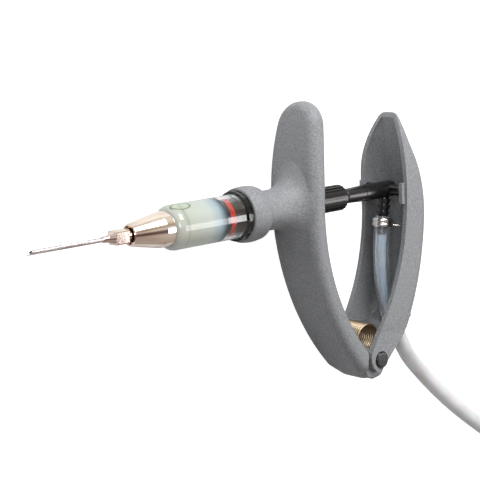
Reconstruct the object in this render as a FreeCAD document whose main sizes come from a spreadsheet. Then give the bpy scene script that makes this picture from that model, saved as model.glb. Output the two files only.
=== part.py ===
import FreeCAD, Part

import math
import os
import re

import Sketcher
from FreeCAD import Placement, Rotation, Vector

# Tube-fed automatic syringe, lying on its far flank.
# +X runs along the barrel towards the rear handle, +Y towards the top of the handles,
# +Z up from the surface it lies on. While the pieces are made, the barrel's axis is the X axis
# and x = 0 is where the barrel's front shoulder ends. All sizes are in millimetres.

SIZES = {
    # needle
    "needle_tip_x": -73.7, "bevel_length": 2.8, "needle_diameter": 2.0, "needle_bore": 1.5,
    # needle hub
    "hub_nose_x": -36.6, "hub_nose_diameter": 2.7, "hub_cone_x": -33.9, "hub_block_x": -31.4,
    "hub_block_length": 6.6, "hub_block_side": 6.0, "hub_block_round": 0.7,
    "hub_neck_diameter": 4.9, "hub_neck_length": 1.0, "hub_skirt_diameter": 6.2, "hub_back_x": -19.8,
    "hub_lug_diameter": 7.7, "hub_lug_width": 2.4, "hub_lug_length": 0.9,
    "luer_tip_x": -24.4, "luer_tip_diameter": 4.0, "luer_taper": 0.06, "luer_floor_gap": 0.8,
    # nozzle
    "nozzle_front_x": -22.9, "nozzle_front_diameter": 9.8, "nozzle_mouth_diameter": 8.1,
    "nozzle_mouth_depth": 5.9, "nozzle_band_x": -7.7, "nozzle_band_diameter": 15.6,
    "nozzle_rim_round": 0.3, "spigot_diameter": 12.0, "spigot_back_x": 0.8, "duct_diameter": 2.0,
    "chamber_front_x": -11.0, "chamber_diameter": 6.6,
    # outlet valve
    "seat_thickness": 0.8, "seat_hole": 3.2, "valve_gap": 0.1, "outlet_head_diameter": 5.4,
    "outlet_head_length": 1.9, "outlet_stem_diameter": 2.0, "outlet_stem_length": 3.8,
    "outlet_wire": 0.5, "outlet_coil_diameter": 3.8, "outlet_turns": 5,
    # barrel
    "barrel_front_x": -3.4, "barrel_diameter": 20.0, "barrel_bore": 17.0, "barrel_shoulder_round": 4.0,
    "barrel_face_diameter": 15.6, "barrel_lip_thickness": 0.8, "barrel_lip_hole": 8.0,
    "flange_x": 34.8, "flange_chamfer": 0.5, "flange_diameter": 22.6, "flange_back_x": 45.5,
    "flange_seal_thickness": 1.0,
    "flange_seal_width": 2.2,
    # piston
    "piston_front_x": 25.0, "piston_length": 15.0, "ring_x": 26.65, "ring_width": 2.7, "ring_depth": 1.6,
    "waist_x": 31.6, "waist_width": 1.2, "waist_depth": 0.5, "cage_diameter": 8.4, "cage_depth": 5.5,
    "piston_web": 1.5, "piston_port": 3.0, "slide_gap": 0.05, "ring_gap": 0.03, "seat_clearance": 0.02,
    # inlet valve
    "retainer_x": 25.2, "retainer_thickness": 1.0, "retainer_hole": 2.8, "inlet_head_diameter": 5.2,
    "inlet_head_length": 1.4, "inlet_stem_diameter": 1.8, "inlet_stem_length": 2.0,
    "inlet_wire": 0.55, "inlet_coil_diameter": 3.4, "inlet_turns": 3,
    # piston rod
    "rod_diameter": 5.9, "rod_bore": 2.8, "rod_cone_x": 104.0, "rod_cone_mid_x": 106.7,
    "rod_cone_mid_diameter": 7.0, "rod_back_x": 120.6, "rod_back_diameter": 8.0,
    "rod_groove_x": 117.8, "rod_groove_width": 0.7, "rod_groove_depth": 0.2,
    # elbow
    "elbow_diameter": 8.1, "elbow_back_x": 140.0, "elbow_round": 2.0, "trunnion_x": 135.2,
    "trunnion_diameter": 5.3, "trunnion_half_length": 11.7, "journal_diameter": 3.4,
    "journal_half_length": 13.3, "trunnion_groove": 1.3,
    "trunnion_groove_depth": 1.2, "trunnion_root": 4.6, "trunnion_end": 1.9,
    "barb_root_x": 134.9, "barb_lean": 9.0, "barb_stem_diameter": 4.6, "barb_ring_diameter": 6.6,
    "barb_below_hose": 0.9, "barb_pitch": 3.1, "barb_rings": 3, "barb_tail_diameter": 4.9,
    "barb_end": 21.5,
    "barb_ring_length": 2.4,
    # hose clamp
    "clamp_at": 16.3, "clamp_wall": 0.6, "clamp_bead": 2.1, "clamp_wire": 1.2, "clamp_tang": 4.2,
    # feed tube
    "hose_diameter": 8.0, "hose_bore": 5.0, "hose_on_barb": 13.2,
    # rod guide bush and dose knob
    "bush_x": 52.0, "bush_length": 8.0, "bush_diameter": 10.0, "knob_hub_x": 71.0,
    "knob_hub_diameter": 10.0,
    "knob_diameter": 12.4, "knob_back_x": 103.6, "knob_bore": 8.5, "knob_chamfer": 1.0,
    "knob_grooves": 22, "knob_groove_depth": 0.85, "knob_groove_width": 1.0,
    # front handle: collar and neck
    "collar_front_x": 38.1, "collar_diameter": 24.8, "collar_bulge": 0.35, "collar_back_x": 50.6,
    "collar_back_round": 4.2, "collar_front_round": 0.65, "neck_diameter": 18.6,
    "flare_length": 12.5, "flare_height": 10.0, "flare_width": 4.6, "piston_room_diameter": 17.4,
    "rod_passage_diameter": 7.4,
    # front handle: plate
    "plate_front_x": 70.6, "plate_vertex_y": -1.0, "plate_wide_y": 5.0, "plate_foot_y": -73.0,
    "plate_thickness": 10.0, "plate_front_low_radius": 125.0,
    "plate_back_low_radius": 112.0, "plate_high_radius": 200.0, "plate_top_y": 47.6,
    "plate_half_width": 15.3,
    "plate_top_round": 12.8, "plate_low_half_width": 12.9, "plate_edge_round": 4.2,
    "plate_top_angle": 9.2, "heel_bottom_y": -90.0, "heel_front_y": -84.8, "heel_round": 14.0,
    "heel_back_round": 8.0, "heel_corner_y": -83.0, "heel_corner_round": 8.0, "heel_half_width": 7.5,
    # pivot
    "pivot_x": 114.6, "pivot_y": -79.9, "pin_diameter": 4.0, "pin_gap": 0.05, "pin_head_diameter": 8.0,
    "pin_head_height": 1.5, "head_recess": 0.9, "head_gap": 0.3,
    "tongue_half_width": 10.3, "tongue_radius": 5.2, "ear_gap": 0.35, "ear_clearance": 1.0,
    # return spring
    "coil_x": 112.6, "coil_y": -69.3, "coil_diameter": 12.6, "coil_wire": 1.2, "coil_turns": 10,
    "coil_pitch": 1.3, "coil_pocket_gap": 0.6, "rear_leg": 9.4, "front_leg": 9.0, "leg_angle": 20.0,
    "strip_low": 10.5, "strip_high": 30.0,
    # rear handle
    "rim_x": 133.8, "rim_high_y": 8.0, "rim_low_y": -5.0, "rim_high_radius": 91.0, "rim_low_radius": 105.0,
    "rim_low_angle": 33.0, "tip_y": 37.4, "tip_flat": 1.2, "back_x": 150.4, "back_y": -10.0,
    "back_low_radius": 130.0, "back_high_radius": 52.0, "back_high_angle": 13.5,
    "shell_half_width": 15.3, "shell_wide_y": 5.0, "shell_top_radius": 54.0, "tip_half_width": 2.4,
    "hollow_top_y": 35.0,
    "ear_half_width": 13.4, "shell_bottom_y": -72.0, "shell_wall": 2.4, "shell_back_round": 6.5,
    "ear_back_offset": 3.8, "ear_back_angle": 43.0, "ear_toe": 5.1, "ear_round": 8.5,
    "ear_top_y": -65.0,
    "seat_tab_top": 4.0, "seat_tab_height": 9.8, "seat_tab_front": 131.6, "seat_tab_back": 140.2,
    "seat_gap": 0.3, "seat_travel": 2.9, "seat_end_gap": 0.4, "tab_inner_half_width": 12.0,
    "exit_gap": 0.35, "notch_y": -61.4, "notch_low_y": -65.2,
    "post_diameter": 5.6, "post_y": -42.3, "post_side": 7.2, "post_length": 5.5,
    # coiled feed hose, its tie and its draw-off tip
    "hose_coil_diameter": 88.0, "hose_coil_stub": 30.0, "hose_tail": 30.0, "tail_angle": 130.0,
    "tie_angle": 12.0, "tie_place": 250.0,
    "tie_thickness": 1.2, "spike_grip_diameter": 7.9, "spike_grip_length": 10.0,
    "spike_diameter": 5.0, "spike_length": 24.0, "spike_point": 6.0, "spike_barb_length": 14.0,
    "spike_bore": 2.4, "spike_tip_diameter": 3.2,
}

doc = FreeCAD.newDocument("automatic_syringe")
sheet = doc.addObject("Spreadsheet::Sheet", "Sizes")
for row, (alias, amount) in enumerate(SIZES.items(), start=1):
    sheet.set(f"A{row}", alias)
    sheet.set(f"B{row}", str(amount))
    sheet.setAlias(f"B{row}", alias)
doc.recompute()


def bound(text):
    """An expression on the sheet, from a formula written with plain size names."""
    return re.sub(r"[A-Za-z_]\w*",
                  lambda word: "Sizes." + word[0] if word[0] in SIZES else word[0], str(text))


def size(text):
    """The value of a formula of sizes."""
    return float(sheet.evalExpression(bound(text)))


def origin_plane(body, role):
    return next(feature for feature in body.Origin.OriginFeatures if feature.Role == role)


def new_sketch(body, name, plane="XY_Plane", offset="0", shift=("0", "0"), yaw="0"):
    """A sketch on one of the body's origin planes, moved along its normal, shifted and turned."""
    sketch = body.newObject("Sketcher::SketchObject", name)
    sketch.AttachmentSupport = [(origin_plane(body, plane), "")]
    sketch.MapMode = "FlatFace"
    for path, formula in (("Base.x", shift[0]), ("Base.y", shift[1]), ("Base.z", offset),
                          ("Rotation.Yaw", yaw)):
        if formula != "0":
            sketch.setExpression(f"AttachmentOffset.{path}", bound(formula))
    return sketch


def pin_point(sketch, index, position, x_text, y_text):
    """Holds a point of the sketch at a place given by two formulas."""
    for kind, text in (("DistanceX", x_text), ("DistanceY", y_text)):
        number = sketch.addConstraint(Sketcher.Constraint(kind, -1, 1, index, position, size(text)))
        sketch.setExpression(f"Constraints[{number}]", bound(text))


def draw_outline(sketch, corners):
    """A closed outline. A corner is (x, y), followed by a straight edge, or (x, y, radius, side),
    followed by an arc whose centre lies left (1) or right (-1) of the way to the next corner."""
    places = [Vector(size(corner[0]), size(corner[1]), 0) for corner in corners]
    ends = []
    for number, corner in enumerate(corners):
        start, end = places[number], places[(number + 1) % len(places)]
        if len(corner) == 2:
            ends.append((sketch.addGeometry(Part.LineSegment(start, end)), 1, 2))
            continue
        radius, side = size(corner[2]), corner[3]
        chord = end - start
        left = Vector(-chord.y, chord.x, 0).normalize()
        centre = (start + end) / 2 + left * side * math.sqrt(max(0.0, radius**2 - chord.Length**2 / 4))
        angles = [math.atan2(point.y - centre.y, point.x - centre.x) for point in (start, end)]
        circle = Part.Circle(centre, Vector(0, 0, 1), radius)
        if side > 0:
            ends.append((sketch.addGeometry(Part.ArcOfCircle(circle, *angles)), 1, 2))
        else:
            ends.append((sketch.addGeometry(Part.ArcOfCircle(circle, angles[1], angles[0])), 2, 1))
        number = sketch.addConstraint(Sketcher.Constraint("Radius", ends[-1][0], radius))
        sketch.setExpression(f"Constraints[{number}]", bound(corner[2]))
    for number, corner in enumerate(corners):
        index, head, tail = ends[number]
        following, its_head, _ = ends[(number + 1) % len(ends)]
        sketch.addConstraint(Sketcher.Constraint("Coincident", index, tail, following, its_head))
        pin_point(sketch, index, head, corner[0], corner[1])


def draw_circle(sketch, x_text, y_text, diameter):
    centre = Vector(size(x_text), size(y_text), 0)
    index = sketch.addGeometry(Part.Circle(centre, Vector(0, 0, 1), size(diameter) / 2))
    pin_point(sketch, index, 3, x_text, y_text)
    number = sketch.addConstraint(Sketcher.Constraint("Diameter", index, size(diameter)))
    sketch.setExpression(f"Constraints[{number}]", bound(diameter))


def finish_feature(body, feature, grows):
    """Recomputes and makes sure that the feature added or removed material."""
    before = feature.BaseFeature.Shape.Volume if feature.BaseFeature else 0.0
    doc.recompute()
    change = feature.Shape.Volume - before
    if change * (1 if grows else -1) <= 0:
        raise RuntimeError(f"{body.Label}: {feature.Name} changed nothing")
    return feature


def turn(body, sketch, cut=False, axis="H_Axis"):
    """A full turn of the sketch about one of its axes, added or cut away."""
    kind = "Groove" if cut else "Revolution"
    feature = body.newObject(f"PartDesign::{kind}", f"{sketch.Name}_{kind.lower()}")
    feature.Profile = sketch
    feature.ReferenceAxis = (sketch, [axis])
    feature.Angle = 360
    return finish_feature(body, feature, not cut)


def extrude(body, sketch, length, cut=False, symmetric=False, backwards=False):
    """A straight pad or pocket of the sketch, as long as the formula says."""
    kind = "Pocket" if cut else "Pad"
    feature = body.newObject(f"PartDesign::{kind}", f"{sketch.Name}_{kind.lower()}")
    feature.Profile = sketch
    feature.setExpression("Length", bound(length))
    feature.SideType = "Symmetric" if symmetric else "One side"
    feature.Reversed = backwards
    return finish_feature(body, feature, not cut)


def loft(body, sketches, cut=False):
    """A smooth skin through the sketches, added or cut away."""
    kind = "SubtractiveLoft" if cut else "AdditiveLoft"
    feature = body.newObject(f"PartDesign::{kind}", f"{sketches[0].Name}_loft")
    feature.Profile = sketches[0]
    feature.Sections = sketches[1:]
    return finish_feature(body, feature, not cut)


def dress(body, kind, feature, chosen, amount):
    """A fillet or chamfer on the edges of a feature that the test picks."""
    names = [f"Edge{number}" for number, edge in enumerate(feature.Shape.Edges, start=1) if chosen(edge)]
    dressed = body.newObject(f"PartDesign::{kind}", f"{feature.Name}_{kind.lower()}")
    dressed.Base = (feature, names)
    dressed.setExpression("Radius" if kind == "Fillet" else "Size", bound(amount))
    doc.recompute()
    body.Tip = dressed
    return dressed


def turned_body(name, outline):
    """A body of revolution about the barrel's axis, from its outline of (x, radius) corners."""
    body = doc.addObject("PartDesign::Body", name)
    profile = new_sketch(body, f"{name}_profile")
    draw_outline(profile, outline)
    turn(body, profile)
    return body


def ring_body(name, front, back, inner, outer):
    """A plain ring about the barrel's axis."""
    return turned_body(name, [(front, f"{inner} / 2"), (front, f"{outer} / 2"),
                              (back, f"{outer} / 2"), (back, f"{inner} / 2")])


def shape_feature(name, shape):
    feature = doc.addObject("Part::Feature", name)
    feature.Shape = shape
    return feature


def swept_wire(edges, diameter):
    """Round wire of one thickness along a path of joined edges."""
    path = Part.Wire(edges)
    first = path.OrderedEdges[0]
    start, along = first.valueAt(first.FirstParameter), first.tangentAt(first.FirstParameter)
    if first.Orientation == "Reversed":
        start, along = first.valueAt(first.LastParameter), -first.tangentAt(first.LastParameter)
    section = Part.Wire([Part.Circle(start, along, diameter / 2).toShape()])
    return path.makePipeShell([section], True, True)


def axial_spring(name, front_x, back_x, coil_diameter, wire, turns):
    """A compression spring about the barrel's axis, between two flat seats."""
    gap = size("valve_gap")
    height = back_x - front_x - wire - 2 * gap
    helix = Part.makeHelix(height / turns, height, coil_diameter / 2)
    spring = shape_feature(name, swept_wire(helix.Edges, wire))
    spring.Placement = Placement(Vector(front_x + wire / 2 + gap, 0, 0), Rotation(Vector(0, 1, 0), 90))
    return spring


# Places that several pieces share, as formulas of the sizes
LUER_FLOOR = "(luer_tip_x - luer_floor_gap)"
MOUTH_FLOOR = "(nozzle_front_x + nozzle_mouth_depth)"
HUB_BLOCK_BACK = "(hub_block_x + hub_block_length)"
HUB_SKIRT = "(hub_block_x + hub_block_length + hub_neck_length)"
BARREL_LIP = "(spigot_back_x + seat_thickness)"
BORE_FRONT = "(spigot_back_x + seat_thickness + barrel_lip_thickness)"
SOCKET_FLOOR = "(flange_back_x + flange_seal_thickness)"
OUTLET_HEAD_BACK = "(spigot_back_x - valve_gap)"
OUTLET_HEAD_FRONT = "(spigot_back_x - valve_gap - outlet_head_length)"
PISTON_BACK = "(piston_front_x + piston_length)"
CAGE_FLOOR = "(piston_front_x + cage_depth)"
ROD_FRONT = "(piston_front_x + cage_depth + piston_web)"
RETAINER_BACK = "(retainer_x + retainer_thickness)"
INLET_HEAD_BACK = "(piston_front_x + cage_depth - valve_gap)"
INLET_HEAD_FRONT = "(piston_front_x + cage_depth - valve_gap - inlet_head_length)"
PLATE_BACK = "(plate_front_x + plate_thickness)"
KNOB_FRONT = "(plate_front_x + plate_thickness + head_gap)"
RIM_CENTRE_X = "(rim_x - rim_low_radius)"
EAR_RADIUS = ("((pivot_x - rim_x + rim_low_radius) * cos(rim_low_angle)"
              " - (pivot_y - rim_low_y) * sin(rim_low_angle) - rim_low_radius)")
EAR_INSIDE = "(tongue_half_width + ear_gap)"
EAR_LINE = ("pivot_x + ear_back_offset * sin(ear_back_angle) + {0} * cos(ear_back_angle)",
            "pivot_y - ear_back_offset * cos(ear_back_angle) + {0} * sin(ear_back_angle)")
COIL_HALF = "(coil_turns * coil_pitch / 2)"
LEG_START = ("(coil_x + coil_diameter / 2 * sin(leg_angle))",
             "(coil_y - coil_diameter / 2 * cos(leg_angle))")
REST_Z = "(hose_diameter / 2 - shell_half_width)"
HOSE_PLACES = [("pivot_x + 15.8", "pivot_y + 42.4", "0"), ("pivot_x + 16.6", "pivot_y + 30.9", "0"),
               ("pivot_x + 19.6", "pivot_y + 18.9", "0"), ("pivot_x + 30.9", "pivot_y - 1.6", "0 - 0.8"),
               ("pivot_x + 41", "pivot_y - 10.1", "0 - 6"), ("pivot_x + 52.9", "pivot_y - 18.6", REST_Z),
               ("pivot_x + 68.5", "pivot_y - 34.2", REST_Z), ("pivot_x + 89.4", "pivot_y - 51.9", REST_Z),
               ("pivot_x + 123.4", "pivot_y - 76.6", REST_Z), ("pivot_x + 178.2", "pivot_y - 101", REST_Z)]
HEAD_FLOOR = "(ear_half_width - head_recess)"


def luer_radius(x_text):
    """Radius of the tapered joint between nozzle and hub at a place along the axis."""
    return f"(luer_tip_diameter / 2 + luer_taper / 2 * ({x_text} - luer_tip_x))"


def cone_radius(x_text):
    """Radius of the piston rod's long cone at a place along the axis."""
    return (f"(rod_cone_mid_diameter / 2 + (rod_back_diameter - rod_cone_mid_diameter) / 2"
            f" * ({x_text} - rod_cone_mid_x) / (rod_back_x - rod_cone_mid_x))")


def make_needle():
    """Steel tube with a slanted point, set into its hub."""
    needle = ring_body("needle_cannula", "needle_tip_x", LUER_FLOOR, "needle_bore", "needle_diameter")
    bevel = new_sketch(needle, "needle_bevel")
    draw_outline(bevel, [("needle_tip_x - 1", "needle_diameter"),
                         ("needle_tip_x - 1", "-needle_diameter / 2 - needle_diameter / bevel_length"),
                         ("needle_tip_x + bevel_length * 1.5", "needle_diameter")])
    extrude(needle, bevel, "needle_diameter * 2", cut=True, symmetric=True)


def make_hub():
    """Plated hub: nose, square grip, tapered socket and two locking lugs."""
    hub = turned_body("needle_hub", [
        ("hub_nose_x", "0"), ("hub_nose_x", "hub_nose_diameter / 2"),
        ("hub_cone_x", "hub_nose_diameter / 2 + 0.25"), ("hub_block_x", "hub_block_side / 2 - 0.1"),
        (HUB_BLOCK_BACK, "hub_block_side / 2 - 0.1"), (HUB_BLOCK_BACK, "hub_neck_diameter / 2"),
        (HUB_SKIRT, "hub_neck_diameter / 2"), (HUB_SKIRT, "hub_skirt_diameter / 2"),
        ("hub_back_x", "hub_skirt_diameter / 2"), ("hub_back_x", "0")])
    grip = new_sketch(hub, "hub_grip", "YZ_Plane", "hub_block_x")
    half = "hub_block_side / 2"
    draw_outline(grip, [(half, f"-{half}"), (half, half), (f"-{half}", half), (f"-{half}", f"-{half}")])
    block = extrude(hub, grip, "hub_block_length")
    side = size(half)
    dress(hub, "Fillet", block, lambda edge: along_x(edge) and abs(edge.BoundBox.YMax) > side - 0.01
          and abs(edge.BoundBox.ZMax) > side - 0.01 or corner_edge(edge, side), "hub_block_round")
    lug = new_sketch(hub, "hub_lugs", "YZ_Plane", "hub_back_x - hub_lug_length")
    reach = "sqrt(hub_lug_diameter ^ 2 - hub_lug_width ^ 2) / 2"
    half = "hub_lug_width / 2"
    draw_outline(lug, [(half, f"-{reach}"), (half, reach, "hub_lug_diameter / 2", 1),
                       (f"-{half}", reach), (f"-{half}", f"-{reach}", "hub_lug_diameter / 2", 1)])
    extrude(hub, lug, "hub_lug_length")
    bore = new_sketch(hub, "hub_bore")
    draw_outline(bore, [
        ("hub_nose_x - 1", "0"), ("hub_nose_x - 1", "needle_diameter / 2"),
        (LUER_FLOOR, "needle_diameter / 2"),
        (LUER_FLOOR, f"{luer_radius(LUER_FLOOR)} + seat_clearance"),
        ("hub_back_x + 1", f"{luer_radius('(hub_back_x + 1)')} + seat_clearance"), ("hub_back_x + 1", "0")])
    turn(hub, bore, cut=True)


def along_x(edge):
    box = edge.BoundBox
    return box.XLength > 1 and box.YLength < 0.01 and box.ZLength < 0.01


def corner_edge(edge, side):
    """A straight edge along X at a corner of a square bar."""
    box = edge.BoundBox
    return along_x(edge) and abs(abs(box.YMin) - side) < 0.01 and abs(abs(box.ZMin) - side) < 0.01


def make_nozzle():
    """Plated lock nozzle: conical sleeve, inner taper, valve chamber and spigot."""
    turned_body("luer_lock_nozzle", [
        ("luer_tip_x", "duct_diameter / 2"), ("luer_tip_x", "luer_tip_diameter / 2"),
        (MOUTH_FLOOR, luer_radius(MOUTH_FLOOR)), (MOUTH_FLOOR, "nozzle_mouth_diameter / 2"),
        ("nozzle_front_x", "nozzle_mouth_diameter / 2"),
        ("nozzle_front_x", "nozzle_front_diameter / 2 - nozzle_rim_round", "nozzle_rim_round", -1),
        ("nozzle_front_x + nozzle_rim_round", "nozzle_front_diameter / 2"),
        ("nozzle_band_x", "nozzle_band_diameter / 2"), ("barrel_front_x", "nozzle_band_diameter / 2"),
        ("barrel_front_x", "spigot_diameter / 2"), ("spigot_back_x", "spigot_diameter / 2"),
        ("spigot_back_x", "chamber_diameter / 2"), ("chamber_front_x", "chamber_diameter / 2"),
        ("chamber_front_x", "duct_diameter / 2")])


def make_outlet_valve():
    """Seat washer, spring-loaded valve and its spring, in the nozzle's chamber."""
    ring_body("outlet_valve_seat", "spigot_back_x", BARREL_LIP, "seat_hole", "spigot_diameter")
    turned_body("outlet_valve", [
        (f"{OUTLET_HEAD_FRONT} - outlet_stem_length", "0"),
        (f"{OUTLET_HEAD_FRONT} - outlet_stem_length", "outlet_stem_diameter / 2"),
        (OUTLET_HEAD_FRONT, "outlet_stem_diameter / 2"), (OUTLET_HEAD_FRONT, "outlet_head_diameter / 2"),
        (f"{OUTLET_HEAD_BACK} - outlet_head_length / 3", "outlet_head_diameter / 2"),
        (OUTLET_HEAD_BACK, "outlet_head_diameter / 2 - outlet_head_length / 3"), (OUTLET_HEAD_BACK, "0")])
    axial_spring("outlet_valve_spring", size("chamber_front_x"), size(OUTLET_HEAD_FRONT),
                 size("outlet_coil_diameter"), size("outlet_wire"), size("outlet_turns"))


def make_barrel():
    """Clear barrel with a rounded shoulder, an inner lip and a stepped rear flange."""
    face = "(barrel_face_diameter / 2 - barrel_diameter / 2 + barrel_shoulder_round)"
    turned_body("barrel", [
        ("barrel_front_x", "spigot_diameter / 2 + seat_clearance"),
        ("barrel_front_x", "barrel_face_diameter / 2", "barrel_shoulder_round", -1),
        (f"barrel_front_x + sqrt(barrel_shoulder_round ^ 2 - {face} ^ 2)", "barrel_diameter / 2"),
        ("flange_x", "barrel_diameter / 2"), ("flange_x + flange_chamfer", "flange_diameter / 2"),
        ("flange_back_x", "flange_diameter / 2"), ("flange_back_x", "barrel_bore / 2"),
        (BORE_FRONT, "barrel_bore / 2"), (BORE_FRONT, "barrel_lip_hole / 2"),
        (BARREL_LIP, "barrel_lip_hole / 2"), (BARREL_LIP, "spigot_diameter / 2 + seat_clearance")])
    ring_body("barrel_flange_seal", "flange_back_x", SOCKET_FLOOR,
              "(flange_diameter - 2 * flange_seal_width)", "flange_diameter")


def make_piston():
    """Piston with its ring groove, waist, valve cage and rod socket, and the ring in the groove."""
    outer = "(barrel_bore / 2 - slide_gap)"
    groove_front, groove_back = "(ring_x - seat_clearance)", "(ring_x + ring_width + seat_clearance)"
    turned_body("piston", [
        ("piston_front_x", "cage_diameter / 2"), ("piston_front_x", outer), (groove_front, outer),
        (groove_front, f"{outer} - ring_depth"), (groove_back, f"{outer} - ring_depth"),
        (groove_back, outer),
        ("waist_x", outer), ("waist_x", f"{outer} - waist_depth"),
        ("waist_x + waist_width", f"{outer} - waist_depth"), ("waist_x + waist_width", outer),
        (PISTON_BACK, outer), (PISTON_BACK, "rod_diameter / 2 + seat_clearance"),
        (ROD_FRONT, "rod_diameter / 2 + seat_clearance"), (ROD_FRONT, "piston_port / 2"),
        (CAGE_FLOOR, "piston_port / 2"), (CAGE_FLOOR, "cage_diameter / 2")])
    ring_body("piston_ring", "ring_x", "(ring_x + ring_width)",
              f"(2 * {outer} - 2 * ring_depth + 2 * seat_clearance)", "(barrel_bore - 2 * ring_gap)")


def make_inlet_valve():
    """Spring-loaded valve in the piston's cage, and the retainer that holds its spring."""
    ring_body("inlet_valve_retainer", "retainer_x", RETAINER_BACK, "retainer_hole",
              "(cage_diameter - 2 * seat_clearance)")
    turned_body("inlet_valve", [
        (f"{INLET_HEAD_FRONT} - inlet_stem_length", "0"),
        (f"{INLET_HEAD_FRONT} - inlet_stem_length", "inlet_stem_diameter / 2"),
        (INLET_HEAD_FRONT, "inlet_stem_diameter / 2"), (INLET_HEAD_FRONT, "inlet_head_diameter / 2"),
        (f"{INLET_HEAD_BACK} - inlet_head_length / 3", "inlet_head_diameter / 2"),
        (INLET_HEAD_BACK, "inlet_head_diameter / 2 - inlet_head_length / 3"), (INLET_HEAD_BACK, "0")])
    axial_spring("inlet_valve_spring", size(RETAINER_BACK), size(INLET_HEAD_FRONT),
                 size("inlet_coil_diameter"), size("inlet_wire"), size("inlet_turns"))


def make_rod():
    """Hollow piston rod that widens in a long cone with a fine groove, and its guide bush."""
    groove_end = "(rod_groove_x + rod_groove_width)"
    turned_body("piston_rod", [
        (ROD_FRONT, "rod_bore / 2"), (ROD_FRONT, "rod_diameter / 2"), ("rod_cone_x", "rod_diameter / 2"),
        ("rod_cone_mid_x", "rod_cone_mid_diameter / 2"), ("rod_groove_x", cone_radius("rod_groove_x")),
        ("rod_groove_x", f"{cone_radius('rod_groove_x')} - rod_groove_depth"),
        (groove_end, f"{cone_radius(groove_end)} - rod_groove_depth"), (groove_end, cone_radius(groove_end)),
        ("rod_back_x", "rod_back_diameter / 2"), ("rod_back_x", "rod_bore / 2")])
    ring_body("rod_guide_bush", "bush_x", "(bush_x + bush_length)", "(rod_diameter + 2 * slide_gap)",
              "(bush_diameter - 2 * seat_clearance)")


def make_elbow():
    """Elbow at the rod's end: two grooved trunnions and a leaning barbed stem, bored through."""
    elbow = turned_body("elbow_connector", [
        ("rod_back_x", "0"), ("rod_back_x", "elbow_diameter / 2"),
        ("elbow_back_x - elbow_round", "elbow_diameter / 2", "elbow_round", -1),
        ("elbow_back_x", "elbow_diameter / 2 - elbow_round"), ("elbow_back_x", "0")])
    bar = new_sketch(elbow, "trunnion_bar")
    draw_circle(bar, "trunnion_x", "0", "trunnion_diameter")
    extrude(elbow, bar, "2 * trunnion_half_length", symmetric=True)
    journal = new_sketch(elbow, "trunnion_journals")
    draw_circle(journal, "trunnion_x", "0", "journal_diameter")
    extrude(elbow, journal, "2 * journal_half_length", symmetric=True)
    span = "(trunnion_half_length - trunnion_root - trunnion_end)"
    front = "trunnion_x - trunnion_diameter / 2"
    for name, start in (("near", "trunnion_root"), ("far", f"-trunnion_root - {span}")):
        slot = new_sketch(elbow, f"trunnion_groove_{name}", offset=start)
        draw_outline(slot, [(f"{front} - 1", "0"), (f"{front} + trunnion_groove_depth", "0"),
                            (f"{front} + trunnion_groove_depth", "trunnion_groove"),
                            (f"{front} - 1", "trunnion_groove")])
        extrude(elbow, slot, span, cut=True, backwards=True)
    stem = new_sketch(elbow, "barb_stem", shift=("barb_root_x", "0"), yaw="-barb_lean")
    corners = [("0", "0"), ("barb_stem_diameter / 2", "0")]
    for number in range(int(size("barb_rings"))):
        top = f"((barb_rings - {number}) * barb_pitch - hose_on_barb - barb_below_hose)"
        corners += [("barb_stem_diameter / 2", top), ("barb_ring_diameter / 2", top),
                    ("barb_stem_diameter / 2", f"{top} - barb_ring_length")]
    corners += [("barb_tail_diameter / 2", "0 - hose_on_barb - 1.2"),
                ("barb_tail_diameter / 2", "0 - barb_end"), ("0", "0 - barb_end")]
    draw_outline(stem, corners)
    turn(elbow, stem, axis="V_Axis")
    bore = new_sketch(elbow, "elbow_bore")
    draw_outline(bore, [("rod_back_x - 1", "0"), ("rod_back_x - 1", "rod_bore / 2"),
                        ("barb_root_x", "rod_bore / 2"), ("barb_root_x", "0")])
    turn(elbow, bore, cut=True)
    duct = new_sketch(elbow, "barb_bore", shift=("barb_root_x", "0"), yaw="-barb_lean")
    draw_outline(duct, [("0", "0"), ("rod_bore / 2", "0"), ("rod_bore / 2", "0 - barb_end - 1"),
                        ("0", "0 - barb_end - 1")])
    turn(elbow, duct, cut=True, axis="V_Axis")


def make_knob():
    """Dose knob: threaded hub in the handle and a grooved grip behind it."""
    knob = turned_body("dose_knob", [
        ("knob_hub_x", "knob_bore / 2"), ("knob_hub_x", "knob_hub_diameter / 2"),
        (KNOB_FRONT, "knob_hub_diameter / 2"), (KNOB_FRONT, "knob_diameter / 2"),
        ("knob_back_x - knob_chamfer", "knob_diameter / 2"),
        ("knob_back_x", "knob_diameter / 2 - knob_chamfer"), ("knob_back_x", "knob_bore / 2")])
    groove = new_sketch(knob, "knob_groove", "YZ_Plane", KNOB_FRONT)
    half, high = "knob_groove_width / 2", "(knob_diameter / 2 + 1)"
    low = "(knob_diameter / 2 - knob_groove_depth)"
    draw_outline(groove, [(low, f"-{half}"), (high, f"-{half}"), (high, half), (low, half)])
    cut = extrude(knob, groove, f"knob_back_x - {KNOB_FRONT}", cut=True, backwards=True)
    pattern = knob.newObject("PartDesign::PolarPattern", "knob_grooves_round")
    pattern.Originals = [cut]
    pattern.Axis = (origin_plane(knob, "X_Axis"), [""])
    pattern.Angle = 360
    pattern.setExpression("Occurrences", bound("knob_grooves"))
    doc.recompute()
    knob.Tip = pattern


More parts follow.
